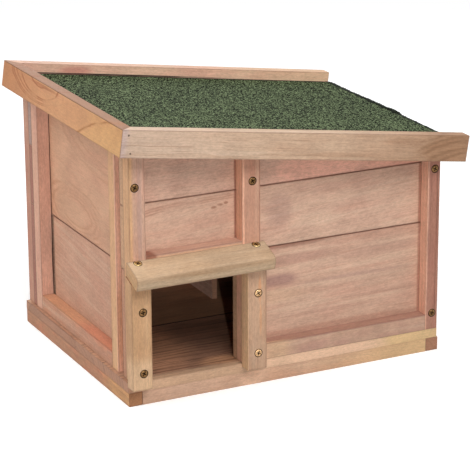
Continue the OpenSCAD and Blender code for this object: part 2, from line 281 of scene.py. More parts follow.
def ringLines(shade, recipe, seed, run, side, lean, layer):
    sway = layer["sway"] - 0.5
    ripple = layer["ripple"] - 0.5
    pithSide = side - recipe["pith"][0] - run * recipe["drift"][0] + sway * (2 * recipe["wander"])
    pithRise = lean - recipe["pith"][1] + ripple * recipe["wander"]
    radius = (pithSide * pithSide + pithRise * pithRise) ** 0.5
    ring = radius / recipe["spacing"] + ripple * 0.5
    step = ring.op("FRACT")
    each = shade.node("ShaderNodeTexWhiteNoise", {"noise_dimensions": "1D"},
                      {"W": ring.op("FLOOR") + seed * seedStep[2]})
    rising = step ** 2.4  # slow rise and quick fall, as a year's growth has
    return rising * shade.smooth(step, *grainCuts["ring"]) * (each * 0.75 + 0.3)


def stained(shade, colour, stains, coords, cloud):
    for middle, reach, stainTint, share in stains:
        off = 0
        for coord, at, size in zip(coords, middle, reach):
            if size:  # a reach of 0 runs right through the piece
                off = ((coord - at) / size) ** 2 + off
        spread = (-off).op("EXPONENT") * (cloud * 1.2 + 0.4)
        colour = shade.mix(shade.smooth(spread, *grainCuts["stain"]) * share, colour, tint(*stainTint))
    return colour


def figured(shade, colour, arcs, run, rise, ripple, cloud):
    for middle, reach, rings, width, arcTint, share, fade in arcs:
        off = (((run - middle[0]) / reach[0]) ** 2 + ((rise - middle[1]) / reach[1]) ** 2) ** 0.5
        off = off + (ripple - 0.5) * (width * 4.5)  # no ring runs quite true
        figure = 0
        for ring in rings:
            figure = (-(((off - ring) / width) ** 2)).op("EXPONENT") + figure
        figure = figure * shade.smooth(cloud, *grainCuts["figure"]) * shade.smooth(run, *fade)
        colour = shade.mix(figure * share, colour, tint(*arcTint))
    return colour


def edgeGap(coords, half, square):  # distance to the nearest edge of the face
    near = None
    for reach, coord, flat in zip(half, coords, square):
        gap = reach - abs(coord) + (flat > 0.7) * 999  # the face's own axis doesn't count
        near = gap if near is None else near.op("MINIMUM", gap)
    return near


def woodFinish(nodeName, axes, seed, look):
    recipe = {**plank, **look}
    shade = Shade(bpy.data.materials.new("wood_" + nodeName))
    place = shade.coord("Object")
    facing = shade.coord("Normal")
    spans = [span(nodes[nodeName], axis) for axis in axes]
    half = [(high - low) / 2 for low, high in spans]
    coords = [shade.dot(place, axis * 1000) - sum(ends) / 2 for axis, ends in zip(axes, spans)]
    square = [abs(shade.dot(facing, axis)) for axis in axes]
    run, side, rise = coords
    lean = rise - run * recipe["drift"][1]

    def grain(length, width, shift, detail=2.0, rough=0.5):
        along = run / length + (seed * seedStep[0] + shift)
        across = side / width + seed * seedStep[1]
        return shade.noise(shade.vector(along, across, lean / width), detail, rough)

    layer = {name: grain(*numbers) for name, numbers in grainLayers.items()}
    length, width = recipe["patch"]
    blotch = grain(length, width, 100.0, 3.0, 0.55)
    cloud = grain(length * 0.6, width * 1.3, 120.0)
    late = ringLines(shade, recipe, seed, run, side, lean, layer)
    scratch = shade.smooth(layer["scratch"], *grainCuts["scratch"])
    fibre = layer["fibre"]
    fine = layer["fine"]

    blushShare = shade.smooth(blotch, *grainCuts["blotch"]) * recipe["blotch"]
    colour = shade.mix(blushShare, tint(*recipe["tone"]), tint(*recipe["blush"]))
    paleShare = shade.smooth(layer["streak"], *grainCuts["streak"]) * recipe["streak"]
    colour = shade.mix(paleShare, colour, tint(*recipe["pale"]))
    if recipe["ends"]:
        lowTint, lowShare, highTint, highShare = recipe["ends"]
        colour = shade.mix(shade.smooth(run, 0, -half[0]) * lowShare, colour, tint(*lowTint))
        colour = shade.mix(shade.smooth(run, 0, half[0]) * highShare, colour, tint(*highTint))
    colour = stained(shade, colour, recipe["stains"], coords, cloud)
    dark = shade.smooth(side, *recipe["linesFrom"]) if recipe["linesFrom"] else 1
    colour = shade.mix(late * recipe["lines"] * dark, colour, tint(*recipe["late"]))
    colour = shade.mix(scratch * recipe["scratch"] * dark, colour, tint(*recipe["late"]))
    colour = figured(shade, colour, recipe["arcs"], run, rise, layer["ripple"], cloud)

    endDark = tint(*[v * 0.72 for v in recipe["end"]])  # end grain drinks more stain
    endTint = shade.mix(late * 0.5 + fine * 0.25, tint(*recipe["end"]), endDark)
    endShare = shade.smooth(square[0], *grainCuts["endGrain"]) * recipe["endMix"]
    colour = shade.mix(endShare, colour, endTint)
    # grime near every edge of a face, partly painted shade where parts meet
    worn = shade.smooth(edgeGap(coords, half, square), *grainCuts["wearAndJointShade"]) * (cloud * 1.5)
    colour = shade.mix(worn * recipe["edge"], colour, tint(*recipe["grimeAndJointShade"]))

    level = 1 + (fibre - 0.5) * (2 * recipe["fibre"]) + (fine - 0.5) * recipe["fibre"]
    level = level + (cloud - 0.5) * 0.4 + (layer["speck"] - 0.5) * (2 * recipe["speck"])
    rough = recipe["rough"] + (fibre - 0.5) * 0.22 - late * 0.08
    height = fibre * 0.6 + fine * 0.35 + late * 0.5
    return shade.surface(shade.scaled(colour, level), rough, height, recipe["bump"],
                         recipe["bumpDepth"], Specular_IOR_Level=recipe["gloss"])


def easeEdges(piece, width):  # millimetres
    weld = piece.modifiers.new("join", "WELD")
    weld.merge_threshold = 0.00002  # the frame's faces come unjoined
    ease = piece.modifiers.new("ease", "BEVEL")
    ease.width = width / 1000
    ease.segments = 2
    ease.limit_method = "ANGLE"
    ease.angle_limit = math.radians(35)
    ease.harden_normals = True


def dress(pieces):
    for count, (nodeName, look) in enumerate(pieces.items()):
        seed = len(nodeName) + count * 1.37
        refinish(nodes[nodeName], woodFinish(nodeName, look["axes"], seed, look))
        usualEase = plank["boardEase" if "_board" in nodeName else "ease"]
        easeEdges(nodes[nodeName], look.get("ease", usualEase))


base = {
    "left_skid": {
        "axes": alongY, "tone": (182, 135, 106), "blush": (190, 126, 98), "pale": (176, 140, 118),
        "late": (120, 76, 54), "end": (171, 118, 84), "pith": (30, -40), "lines": 0.3, "scratch": 0.5,
        "blotch": 0.8, "patch": (36, 16), "ease": 0.9,
        "stains": (
            ((-150, 0, 0), (50, 0, 0), (204, 156, 108), 0.8),  # paler front end
        ),
    },
    "right_skid": {
        "axes": alongY, "tone": (192, 144, 116), "end": (158, 114, 88), "pith": (-30, -35), "ease": 0.9,
    },
    "base_front_rail": {
        "axes": acrossX, "tone": (198, 160, 134), "blush": (202, 156, 126), "pale": (212, 182, 148),
        "pith": (60, 90), "edge": 0.1, "ends": ((202, 166, 142), 0.5, (206, 172, 126), 0.8),
        "stains": (
            ((-53, -9, 0), (17, 0, 16), (240, 196, 164), 1.0),  # painted light below the right jamb, lifting the shadow it casts on the rail
        ),
    },
    "base_back_rail": {"axes": acrossX, "pith": (60, -80)},
    "floor_front_board": {
        "axes": acrossX, "tone": (146, 107, 86), "blush": (126, 90, 71), "late": (44, 27, 19),
        "pale": (150, 114, 90), "pith": (90, -50), "spacing": 8, "lines": 0.9, "scratch": 0.8,
        "end": (178, 134, 110), "edge": 0.1, "linesFrom": (-90, -72),
        "stains": (
            ((0, -92, 0), (0, 18, 0), (196, 160, 130), 1.0),  # pale front edge, painted light
            ((110, -88, 0), (150, 4, 0), (222, 184, 154), 1.0),  # painted light, brighter to the right
            ((-80, -62, 0), (36, 15, 0), (192, 142, 106), 0.8),  # painted light at the entry
            ((-218, 0, 0), (12, 0, 0), (190, 146, 118), 1.0),  # left end
            ((-155, 30, 0), (50, 90, 0), (200, 146, 112), 0.8),  # painted light on the left side
            ((205, -90, 0), (70, 40, 0), (206, 174, 126), 0.8),  # yellow right end
        ),
    },
    "floor_rear_board": {
        "axes": acrossX, "tone": (160, 119, 90), "blush": (147, 104, 77), "pale": (160, 120, 92),
        "late": (62, 38, 26), "pith": (-30, -130), "lines": 0.5, "end": (176, 132, 108),
        "stains": (
            ((0, -88, 0), (0, 2.6, 0), (26, 15, 10), 1.0),  # painted shade in the joint of the two boards
            ((-218, 0, 0), (12, 0, 0), (176, 132, 106), 1.0),  # left end
            ((0, 88, 0), (0, 12, 0), (196, 156, 126), 1.0),  # rear edge
        ),
    },
}
dress(base)

frontWall = {
    "front_left_post": {
        "axes": upright, "tone": (194, 156, 134), "blush": (196, 146, 126), "pith": (30, 80),
        "pale": (204, 180, 160), "lines": 0.3, "scratch": 0.4,
        "stains": (
            ((0, -11, 0), (0, 5, 0), (206, 162, 122), 0.9),  # yellow left edge
            ((60, 3, -9), (70, 3, 4), (172, 140, 128), 0.6),  # grey streak
        ),
    },
    "entry_post": {
        "axes": upright, "tone": (186, 140, 117), "blush": (188, 132, 110), "pith": (-60, 50),
        "stains": (
            ((0, -12, 0), (0, 2.5, 0), (230, 177, 149), 1.0),  # painted light on the pale left side
            ((-105, -12, 0), (45, 2.5, 0), (230, 182, 150), 1.0),  # more painted light low down
        ),
    },
    "front_right_post": {
        "axes": upright, "tone": (166, 118, 100), "blush": (162, 108, 93), "pith": (25, 70),
        "pale": (184, 142, 124), "lines": 0.3,
        "stains": (
            ((0, -10, 0), (0, 2.5, 0), (236, 184, 158), 1.0),  # painted light on the pale left side
        ),
    },
    "entry_lintel": {
        "axes": acrossX, "tone": (198, 156, 126), "blush": (196, 146, 116),
        "stains": (
            ((0, 0, 10), (0, 0, 2), (190, 150, 130), 1.0),  # painted shade on the top face
            ((-60, 0, 8), (8, 0, 5), (140, 86, 68), 0.8),  # dark left corner
        ),
    },
    "front_bottom_rail": {
        "axes": acrossX, "tone": (186, 151, 129), "blush": (178, 137, 121), "pith": (70, -20),
        "pale": (202, 176, 152), "patch": (40, 16), "blotch": 0.7,
        "stains": (
            ((0, 0, 10.7), (0, 0, 2), (164, 122, 106), 0.8),  # painted shade on the top face
            ((-110, -9, 0), (30, 4, 0), (208, 172, 138), 0.7),  # pale left part
        ),
    },
    "front_lower_board": {
        "axes": acrossX, "tone": (196, 160, 138), "blush": (192, 148, 128), "pith": (26, -190),
        "drift": (0.0, 0.04), "pale": (206, 174, 150), "spacing": 9, "lines": 0.14,
        "end": (200, 158, 124), "patch": (90, 16), "blotch": 0.6, "streak": 0.65,
        "stains": (
            ((-84, 0, 25), (26, 0, 8), (158, 122, 112), 0.8),  # knot shadow
            ((0, 0, 72.5), (0, 0, 0.6), (124, 66, 44), 0.7),  # painted shade in the seam
            ((-62, 0, 72), (64, 0, 4.2), (150, 108, 91), 0.8),  # shade below the seam
            ((72, 0, 70), (66, 0, 9), (180, 137, 117), 0.5),  # painted shade below the seam, fainter to the right
            ((126, 0, 0), (3.2, 0, 0), (150, 98, 78), 0.7),  # painted shade at the right post
            ((30, 0, 16), (80, 0, 2.6), (172, 136, 122), 0.6),  # streaks
            ((70, 0, -14), (60, 0, 2.2), (176, 138, 120), 0.6),
            ((-10, 0, -26), (70, 0, 2.4), (178, 140, 122), 0.5),
            ((-60, 0, 52), (60, 0, 7), (172, 132, 116), 0.6),  # dark upper bands
            ((60, 0, 46), (70, 0, 8), (178, 140, 122), 0.5),
            ((-100, 0, 4), (60, 0, 10), (202, 168, 140), 0.6),  # pale left part
            ((0, 0, -48), (190, 0, 5), (168, 122, 104), 0.5),  # painted shade above the rail
        ),
    },
    "front_middle_board": {
        "axes": acrossX, "tone": (200, 164, 142), "blush": (194, 152, 132), "pith": (40, -120),
        "drift": (0.0, 0.08), "pale": (212, 182, 158), "spacing": 9, "lines": 0.2,
        "end": (204, 160, 124), "speck": 0.42, "patch": (64, 20), "blotch": 0.6, "scratch": 0.3,
        "arcs": (
            ((-60, -100), (400, 138), (0.955, 0.978, 1.0), 0.006, (146, 100, 78), 0.45, (-66, -78)),
        ),
        "stains": (
            ((-98, 0, 22), (4, 0, 1.8), (146, 98, 76), 0.7),  # pits
            ((-89, 0, 24.5), (4, 0, 1.6), (146, 98, 76), 0.6),
            ((-81, 0, 26), (3, 0, 1.8), (146, 98, 76), 0.7),
            ((0, 0, 40.7), (0, 0, 0.6), (146, 88, 64), 0.45),  # painted shade in the seam
            ((-67, 0, 0), (2.6, 0, 0), (140, 88, 68), 0.8),  # painted shade at the entry post
            ((203, 0, 0), (3.2, 0, 0), (150, 98, 78), 0.8),  # painted shade at the right post
            ((-190, 0, -24), (20, 0, 4), (168, 116, 98), 0.7),  # low left corner
            ((-140, 0, 33), (50, 0, 2.4), (180, 138, 118), 0.35),  # dark line
            ((-6, 0, 6), (18, 0, 22), (176, 142, 126), 0.7),  # grey patch
            ((66, 0, 26), (24, 0, 7), (184, 142, 124), 0.35),  # dark patch
            ((50, 0, -14), (36, 0, 10), (212, 180, 156), 0.6),  # pale patch
        ),
    },
    "front_top_board": {
        "axes": acrossX, "tone": (201, 163, 142), "blush": (196, 150, 131), "pith": (60, 90),
        "pale": (204, 174, 154), "lines": 0.1, "end": (200, 158, 122), "speck": 0.48,
        "ends": ((200, 164, 143), 0.4, (218, 160, 138), 1.0), "patch": (44, 22),
        "stains": (
            ((60, 0, -30), (70, 0, 40), (228, 174, 152), 1.0),  # rosy right end
            ((-67, 0, 0), (2.6, 0, 0), (140, 88, 68), 0.8),  # painted shade at the entry post
        ),
    },
}
dress(frontWall)

# Strip of the lower front board beside the entry, behind the left post

stripLook = {
    "axes": acrossX, "tone": (196, 156, 132), "blush": (192, 146, 122), "end": (188, 136, 108),
    "pith": (26, -60), "ease": 0.2,
    "clear": 0.2,  # millimetres to its neighbours
    "rows": 24,
    "waver": 0.3,  # of the saw cut at the entry
    "teeth": (17, 41),  # the two beats of that cut
}


def boardStrip(name, look):
    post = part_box("front_left_post")
    gap = look["clear"] / 1000
    front, back = post[1].y + gap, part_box("left_lower_board")[0].y - gap
    low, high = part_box("floor_front_board")[1].z + gap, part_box("front_lower_board")[1].z
    slow, fast = look["teeth"]
    mesh = bmesh.new()
    rings = []
    for row in range(look["rows"] + 1):
        share = row / look["rows"]
        z = low + (high - low) * share
        saw = math.sin(share * slow) * math.cos(share * fast)
        cut = post[1].x - look["waver"] / 1000 * (1 + saw)
        outline = ((post[0].x, front, z), (cut, front, z), (cut, back, z), (post[0].x, back, z))
        rings.append([mesh.verts.new(point) for point in outline])
    for lower, upper in zip(rings, rings[1:]):
        bridge(mesh, lower, upper)
    mesh.faces.new(rings[0])
    mesh.faces.new(rings[-1])
    faceOutward(mesh)
    piece = build(name, mesh)
    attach(piece, "house")
    nodes[name] = piece
    dress({name: look})


boardStrip("front_lower_strip", stripLook)

sideWalls = {
    "left_front_stile": {
        "axes": upright, "tone": (211, 167, 128), "blush": (210, 161, 122), "pale": (220, 184, 142),
        "pith": (60, 30), "lines": 0.22,
        "stains": (
            ((0, 0, -10), (0, 0, 2.6), (232, 180, 154), 1.0),  # painted light on the front side, in the slot
            ((-90, 0, -10), (50, 0, 2.6), (218, 162, 130), 1.0),  # redder low down, with less of that painted light
        ),
    },
    "left_rear_stile": {
        "axes": upright, "tone": (213, 167, 143), "blush": (206, 153, 133), "pith": (-50, 60),
        "stains": (
            ((0, 0, -10), (0, 0, 2.6), (210, 163, 142), 0.9),  # front side
            ((0, 9, -10), (0, 1.1, 2), (40, 18, 9), 1.0),  # painted shade in the slit
            ((-80, 9, -10), (52, 1.8, 2), (30, 13, 6), 1.0),  # painted shade in the slit, wider low down
        ),
    },
    "left_bottom_rail": {
        "axes": alongY, "tone": (186, 140, 116), "blush": (198, 138, 108), "pith": (40, 70),
        "patch": (40, 18), "blotch": 0.8,
        "stains": (
            ((60, 0, 10.7), (80, 0, 2.4), (202, 148, 114), 0.9),  # top face, rear half
            ((-90, 0, 10.7), (80, 0, 2.4), (200, 132, 104), 0.9),  # top face, front half
        ),
    },
    "left_lower_board": {
        "axes": alongY, "tone": (196, 153, 129), "blush": (195, 145, 122), "pith": (60, 150),
        "drift": (0.0, 0.1), "lines": 0.16,
        "stains": (
            ((0, 0, 67.2), (0, 0, 0.6), (124, 70, 48), 0.7),  # painted shade in the seam
        ),
    },
    "left_upper_board": {
        "axes": alongY, "tone": (204, 160, 131), "blush": (203, 153, 126), "pith": (-46, -30),
        "drift": (0.28, 0.0), "spacing": 11, "lines": 0.2, "wander": 16, "speck": 0.3, "scratch": 0.08,
        "streak": 0.25, "pale": (208, 170, 140),
        "arcs": (
            ((40, -60), (80, 28), (0.62, 0.82, 1.0, 1.22), 0.05, (168, 118, 86), 0.4, (-60, -20)),
            ((-60, 70), (150, 60), (0.7, 0.86, 1.0), 0.03, (168, 118, 86), 0.3, (-150, -90)),
        ),
    },
    "right_front_stile": {"axes": upright, "tone": (198, 154, 128), "pith": (-60, 30)},
    "right_rear_stile": {"axes": upright, "tone": (194, 150, 126), "pith": (50, 60)},
    "right_bottom_rail": {"axes": alongY, "tone": (192, 146, 120), "pith": (-40, 70)},
    "right_top_rail": {"axes": alongY, "tone": (198, 156, 130), "pith": (-50, 60)},
    "right_lower_board": {
        "axes": alongY, "tone": (196, 156, 132), "pith": (-60, 150), "drift": (0.0, -0.1),
    },
    "right_upper_board": {"axes": alongY, "tone": (198, 158, 134), "pith": (-40, -30), "spacing": 8},
}
dress(sideWalls)

backWall = {
    "back_left_post": {
        "axes": upright, "tone": (188, 142, 120), "blush": (178, 122, 106), "pith": (-40, 50),
    },
    "back_right_post": {"axes": upright, "tone": (192, 148, 124), "pith": (50, 40)},
    "back_bottom_rail": {"axes": acrossX, "tone": (192, 152, 128), "pith": (70, 20)},
    "back_lower_board": {
        "axes": acrossX, "tone": (206, 164, 138), "pith": (-40, -110), "drift": (0.0, 0.03),
        "end": (150, 96, 84),
    },
    "back_middle_board": {
        "axes": acrossX, "tone": (206, 165, 140), "pith": (-40, 120), "spacing": 8,
        "end": (152, 98, 86),
    },
    "back_top_board": {
        "axes": acrossX, "tone": (188, 152, 132), "pith": (-60, -90), "end": (164, 142, 134),
    },
}
dress(backWall)

entry = {
    "left_jamb": {
        "axes": upright, "tone": (191, 151, 113), "blush": (187, 142, 104), "pale": (204, 174, 140),
        "pith": (-50, 40), "lines": 0.26,
        "stains": (
            ((-58, 0, 0), (26, 0, 0), (212, 176, 140), 0.9),  # pale foot
        ),
    },
    "right_jamb": {
        "axes": upright, "tone": (188, 153, 126), "blush": (186, 142, 113), "pale": (206, 178, 152),
        "pith": (30, 60), "lines": 0.3,
        "stains": (
            ((0, -13.3, 0), (0, 0.9, 0), (244, 200, 156), 1.0),  # painted light on the pale left side
            ((34, 4, 0), (16, 2, 0), (206, 148, 106), 0.7),  # orange streaks
            ((-8, 5, 0), (20, 1.6, 0), (206, 150, 108), 0.6),
        ),
    },
    "canopy": {
        "axes": acrossX, "tone": (187, 160, 131), "blush": (183, 151, 119), "pale": (204, 180, 150),
        "late": (148, 114, 80), "pith": (30, -60), "spacing": 5.5, "lines": 0.35, "scratch": 0.45,
        "end": (196, 154, 112),
        "stains": (
            ((10, -16.4, -1), (95, 3, 3.4), (160, 131, 102), 0.85),  # dark front band
        ),
    },
    "partition": {"axes": alongY, "tone": (186, 150, 132), "pith": (40, 100)},
}
dress(entry)

roofTrims = {
    "front_trim": {
        "axes": downSlope, "tone": (196, 166, 140), "blush": (188, 154, 128), "pale": (212, 188, 164),
        "late": (146, 108, 82), "pith": (14, -70), "spacing": 7, "lines": 0.4, "scratch": 0.5,
        "ends": ((204, 178, 158), 0.6, (168, 132, 104), 0.9), "end": (170, 128, 94),
        "arcs": (
            ((276, -38), (120, 50), (0.72, 0.84, 1.0, 1.1, 1.22), 0.04, (112, 78, 54), 0.5, (130, 190)),
        ),
        "stains": (
            ((-250, -9, 0), (12, 0, 0), (190, 166, 158), 0.8),  # grey left end
            ((225, -9, -4), (50, 0, 20), (154, 118, 90), 0.8),  # dark right end
            ((150, -9, 8), (30, 0, 5), (164, 128, 102), 0.6),  # dark flecks
            ((60, -9, -10), (70, 0, 3), (172, 136, 110), 0.6),
        ),
    },
    "back_trim": {
        "axes": downSlope, "tone": (214, 176, 150), "blush": (212, 157, 137), "pale": (224, 192, 162),
        "pith": (-16, -80), "ends": ((208, 164, 144), 0.6, (212, 178, 142), 0.6),
        "end": (186, 142, 106),
        "stains": (
            ((-150, -9, 9), (24, 0, 6), (200, 136, 120), 0.7),  # rosy patch
            ((-100, -9, 5.0), (170, 3, 0.9), (10, 12, 5), 1.0),  # dark line where the felt meets the trim
        ),
    },
    "left_trim": {
        "axes": ridge, "tone": (204, 153, 113), "blush": (198, 143, 105), "pale": (208, 161, 119),
        "late": (164, 100, 68), "pith": (-36, 20), "drift": (0.3, 0.0), "spacing": 4.6, "lines": 0.16,
        "wander": 13, "blotch": 0.5, "streak": 0.2, "scratch": 0.08, "speck": 0.26, "fibre": 0.16,
        "end": (190, 140, 96), "ends": ((203, 154, 105), 0.9, (180, 125, 88), 0.9),
        "arcs": (
            ((70, 24), (68, 28), (0.5, 1.0), 0.034, (140, 80, 48), 0.7, (-20, 10)),
            ((74, 24), (74, 28), (1.08, 1.22, 1.3), 0.03, (140, 80, 48), 0.6, (10, 70)),
            ((-260, -90), (230, 110), (1.065,), 0.012, (158, 104, 64), 0.8, (-199, -190)),
        ),
        "stains": (
            ((-215, -9, -45), (150, 0, 58), (206, 160, 112), 0.9),  # yellow front half
            ((-62, -9, 4), (40, 0, 16), (194, 144, 106), 0.7),  # dull patch
            ((52, -9, 13), (44, 0, 2.2), (158, 98, 66), 0.6),  # dark line
            ((0, -3, 17.5), (0, 14, 1.2), (146, 106, 79), 1.0),  # painted shade on the top face
        ),
    },
    "roof_panel": {"axes": downSlope, "tone": (200, 166, 138), "pith": (20, -140), "spacing": 9},
}
dress(roofTrims)
print("wood dressed")


# Green mineral felt: stone granules on black bitumen

feltLook = {
    "granule": (1.3, 1.9),  # millimetres down the slope and along the house
    "dust": 0.5,
    "drift": 60,
    "shades": (0.38, 0.96),  # granule levels that turn dark and light
    "dark": (4, 10, 0),
    "light": (129, 145, 105),
    "bitumen": (16, 18, 13),
    "seam": 6.0,  # the top turns to the bitumen colour this close to the back edge: a dark line under the back trim
    "bump": 0.5,
    "bumpDepth": 0.0006,  # metres
    "gloss": 0.06,
}


def feltFinish(look):
    shade = Shade(bpy.data.materials.new("roofing_felt"))
    place = shade.coord("Object")
    facing = shade.coord("Normal")
    u, v, w = [shade.dot(place, axis * 1000) for axis in downSlope]
    far = span(nodes["roof_felt"], toBack)[1]
    flat = shade.vector(u / look["granule"][0], v / look["granule"][1], 0.5)
    cell = {"Vector": flat, "Scale": 1.0, "Randomness": 1.0}
    depth = shade.node("ShaderNodeTexVoronoi", None, cell, "Distance")
    cellTint = shade.node("ShaderNodeTexVoronoi", None, cell, "Color")
    grey = shade.node("ShaderNodeSeparateColor", None, {0: cellTint})
    dust = shade.noise(shade.vector(u / look["dust"], v / look["dust"], w / look["dust"]))
    wide = shade.noise(shade.vector(u / look["drift"], v / look["drift"], 7.7), 3.0)
    level = grey + (dust - 0.5) * 0.8 + (wide - 0.5) * 0.2 - depth * 0.25 + 0.08
    colour = shade.mix(shade.smooth(level, *look["shades"]), tint(*look["dark"]), tint(*look["light"]))
    clear = shade.smooth(far - v, look["seam"] - 2, look["seam"])
    top = shade.smooth(shade.dot(facing, lidUp), 0.5, 0.8) * clear
    colour = shade.mix(top, tint(*look["bitumen"]), colour)
    height = (1 - depth) * 0.8 + dust * 0.3
    return shade.surface(colour, 0.95 - grey * 0.1, height, look["bump"], look["bumpDepth"],
                         Specular_IOR_Level=look["gloss"])


refinish(nodes["roof_felt"], feltFinish(feltLook))


# Frayed edge of the felt along the low side

fringeLook = {
    "steps": 220,
    "inner": 4.2,  # millimetres in from the edge
    "lift": 0.5,
    "past": (1.0, 5.6),  # beyond the edge at the front and at the back
    "drop": 2.2,
    "fray": 1.5,
    "waves": ((0.19, 0, 0.7), (0.43, 1.3, 0.6), (1.1, 0.4, 0.4)),  # turn for each millimetre, shift, size
    "tufts": ((1.13, 2.0, 0.5), (2.7, 0, 0.4)),
    "curl": ((0, 0), (0.43, 0), (0.46, 2.5), (0.51, 2.3),  # share of the way back, height
             (0.54, 1.3), (0.65, 1.2), (0.81, 0), (1, 0)),
    "tar": (13, 15, 11),
    "fleck": (52, 58, 44),
    "fleckScale": 900.0,
    "bump": 0.4,
    "bumpDepth": 0.0005,
    "gloss": 0.05,
}


def fringeFinish(look):
    shade = Shade(bpy.data.materials.new("bitumen_edge"))
    fleck = shade.noise(shade.scaled(shade.coord("Object"), look["fleckScale"]), 3.0)
    colour = shade.mix(shade.smooth(fleck, 0.45, 0.75), tint(*look["tar"]), tint(*look["fleck"]))
    return shade.surface(colour, 0.9 - fleck * 0.1, fleck, look["bump"], look["bumpDepth"],
                         Specular_IOR_Level=look["gloss"])


def feltFringe(look):
    edges = [span(nodes["roof_felt"], axis) for axis in downSlope]
    uHigh = edges[0][1]
    vLow, vHigh = edges[1]
    wHigh = edges[2][1]

    def swell(v, waves):
        return sum(math.sin(v * turn + shift) * size for turn, shift, size in waves)

    def curlAt(share):
        for (start, low), (end, high) in zip(look["curl"], look["curl"][1:]):
            if share <= end:
                return low + (high - low) * (share - start) / (end - start)

    mesh = bmesh.new()
    rows = []
    for step in range(look["steps"] + 1):
        v = vLow + (vHigh - vLow) * step / look["steps"]
        wave = swell(v, look["waves"])
        tuft = swell(v, look["tufts"])
        past = look["past"][0] + (look["past"][1] - look["past"][0]) * step / look["steps"]
        curl = curlAt(step / look["steps"])
        profile = ((uHigh - look["inner"] + wave * look["fray"], wHigh + 0.02),
                   (uHigh - look["inner"] / 3, wHigh + look["lift"] + tuft * 0.25 + curl),
                   (uHigh + past + (wave + tuft) * look["fray"] / 2, wHigh - 0.3 + tuft * 0.2 + curl),
                   (uHigh + 0.15, wHigh - look["drop"]))
        points = [(lidDown * u + Vector((0, v, 0)) + lidUp * w) / 1000 for u, w in profile]
        rows.append([mesh.verts.new(point) for point in points])
    for first, second in zip(rows, rows[1:]):
        for k in range(len(first) - 1):
            mesh.faces.new((first[k], first[k + 1], second[k + 1], second[k])).smooth = True
    faceOutward(mesh)
    piece = build("felt_fringe", mesh, [fringeFinish(look)])
    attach(piece, "lid")


feltFringe(fringeLook)
print("felt dressed")


# Metal fittings

metalLook = {
    "tarnish": 420.0,  # noise scales
    "brushing": 1900.0,
    "bump": 0.08,
    "bumpDepth": 0.0002,
    "leafEase": 0.2,
}


def metalFinish(name, colour, worn, rough):
    shade = Shade(bpy.data.materials.new(name))
    place = shade.coord("Object")
    far = shade.noise(shade.scaled(place, metalLook["tarnish"]), 3.0)
    close = shade.noise(shade.scaled(place, metalLook["brushing"]))
    tone = shade.mix(shade.smooth(far, 0.42, 0.7), tint(*colour), tint(*worn))
    return shade.surface(tone, rough + (close - 0.5) * 0.2 + far * 0.1, close, metalLook["bump"],
                         metalLook["bumpDepth"], Metallic=1.0)


brass = metalFinish("yellow_plated", (218, 180, 136), (170, 128, 86), 0.31)
gilt = metalFinish("pale_plated", (210, 184, 130), (160, 130, 84), 0.36)
bronze = metalFinish("dull_plated", (128, 96, 62), (82, 60, 38), 0.3)
# dark steel for the brads; on the screws, painted shade in the cross and on the ring round the head,
# which is partly crushed wood
darkSteelAndShade = metalFinish("dark_steel_and_painted_shade", (34, 24, 17), (20, 14, 10), 0.6)
zinc = metalFinish("zinc_plated", (176, 178, 180), (150, 152, 156), 0.34)
for nodeName in ("hinge_wall_leaves", "hinge_lid_leaves", "hinge_lid_screws", "hinge_pins"):
    refinish(nodes[nodeName], zinc)
    easeEdges(nodes[nodeName], metalLook["leafEase"])


def islands(nodeName):  # the box of each loose solid in a node
    mesh = nodes[nodeName].data
    owner = {}

    def root(key):
        while owner[key] != key:
            key = owner[key]
        return key

    keys = [tuple(round(c * 100000) for c in v.co) for v in mesh.vertices]
    for key in keys:
        owner.setdefault(key, key)
    for edge in mesh.edges:
        first, second = (root(keys[i]) for i in edge.vertices)
        owner[first] = second
    groups = {}
    for vertex, key in zip(mesh.vertices, keys):
        groups.setdefault(root(key), []).append(vertex.co)
    boxes = []
    for places in groups.values():
        low = Vector([min(p[i] for p in places) for i in range(3)])
        high = Vector([max(p[i] for p in places) for i in range(3)])
        boxes.append((low, high))
    return sorted(boxes, key=lambda b: tuple(b[0]))


# Cross-head wood screws, seated where the frame has them

screwLook = {
    "arm": 0.78,  # shares of the frame screw's radius
    "slot": 0.17,
    "deep": 0.42,
    "head": 1.22,
    "flat": 0.95,
    "crown": 0.14,
    # outer edge of the dark ring round the head: crushed wood with painted shade
    "burrAndShade": 1.45,
    "taper": 0.62,  # floor of the cross as a share of its mouth
    "lip": 0.05,  # millimetres
    "neck": 2.2,
    "shank": 1.8,
    "sides": 40,
    "turns": (12, 52, 30, 74, 5, 61, 38, 20, 83, 47),
}


